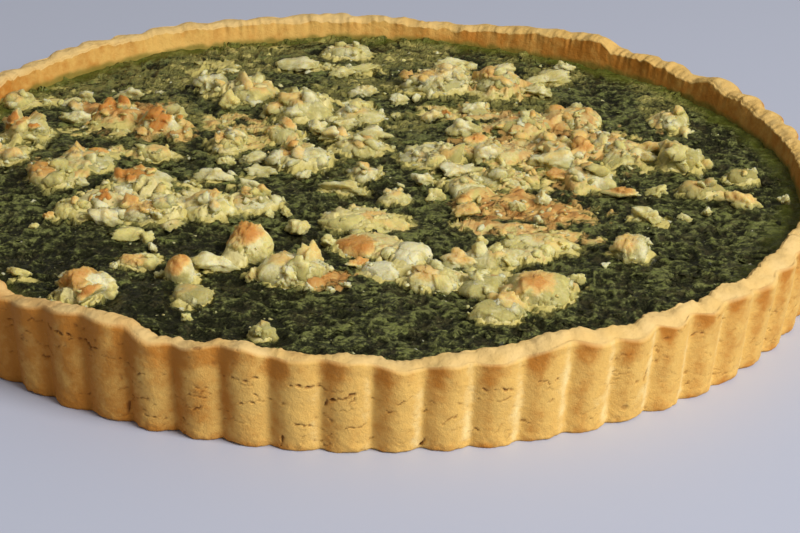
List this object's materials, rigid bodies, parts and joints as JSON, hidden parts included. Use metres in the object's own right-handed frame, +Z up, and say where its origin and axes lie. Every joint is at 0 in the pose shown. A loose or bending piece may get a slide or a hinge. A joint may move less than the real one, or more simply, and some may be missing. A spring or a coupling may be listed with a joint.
{
  "type": "spinach quiche",
  "caption": "Round baked tart with a fluted pastry case, a set green spinach filling and browned lumps of crumbled white cheese on top.",
  "frame": {"origin": "middle of the underside of the pastry case, on the surface it stands on", "axes": "+Z up, out of the filling; +Y from the side that faces the viewer to the far side; +X to the right"},
  "size_m": [0.28, 0.28, 0.0314],
  "materials": {
    "baked_crust": "dry baked shortcrust, golden, browner under the rim, sandy with short cracks",
    "spinach_filling": "chopped cooked spinach set in egg, dark green, slightly wet",
    "crumbled_cheese": "cream crumbled cheese, dry and grainy, orange-brown where it stands up"
  },
  "bodies": {
    "root": {"crust": "baked_crust", "filling": "spinach_filling", "cheese_01": "crumbled_cheese", "cheese_02": "crumbled_cheese", "cheese_03": "crumbled_cheese", "cheese_04": "crumbled_cheese", "cheese_05": "crumbled_cheese", "cheese_06": "crumbled_cheese", "cheese_07": "crumbled_cheese", "cheese_08": "crumbled_cheese", "cheese_09": "crumbled_cheese", "cheese_10": "crumbled_cheese", "cheese_11": "crumbled_cheese", "cheese_12": "crumbled_cheese", "cheese_13": "crumbled_cheese", "cheese_14": "crumbled_cheese", "cheese_15": "crumbled_cheese", "cheese_16": "crumbled_cheese", "cheese_17": "crumbled_cheese", "cheese_18": "crumbled_cheese", "cheese_19": "crumbled_cheese", "cheese_20": "crumbled_cheese", "cheese_21": "crumbled_cheese", "cheese_22": "crumbled_cheese", "cheese_23": "crumbled_cheese", "cheese_24": "crumbled_cheese", "cheese_25": "crumbled_cheese", "cheese_26": "crumbled_cheese", "cheese_27": "crumbled_cheese", "cheese_28": "crumbled_cheese", "cheese_29": "crumbled_cheese", "cheese_30": "crumbled_cheese", "cheese_31": "crumbled_cheese", "cheese_32": "crumbled_cheese", "cheese_33": "crumbled_cheese", "cheese_34": "crumbled_cheese", "cheese_35": "crumbled_cheese", "cheese_36": "crumbled_cheese", "cheese_37": "crumbled_cheese", "cheese_38": "crumbled_cheese", "cheese_39": "crumbled_cheese", "cheese_40": "crumbled_cheese", "cheese_41": "crumbled_cheese", "cheese_42": "crumbled_cheese", "cheese_43": "crumbled_cheese", "cheese_44": "crumbled_cheese", "cheese_45": "crumbled_cheese", "cheese_46": "crumbled_cheese", "cheese_47": "crumbled_cheese", "cheese_48": "crumbled_cheese", "cheese_49": "crumbled_cheese", "cheese_50": "crumbled_cheese", "cheese_51": "crumbled_cheese", "cheese_52": "crumbled_cheese", "cheese_53": "crumbled_cheese", "cheese_54": "crumbled_cheese", "cheese_55": "crumbled_cheese", "cheese_56": "crumbled_cheese", "cheese_57": "crumbled_cheese", "cheese_58": "crumbled_cheese"}
  },
  "joints": []
}
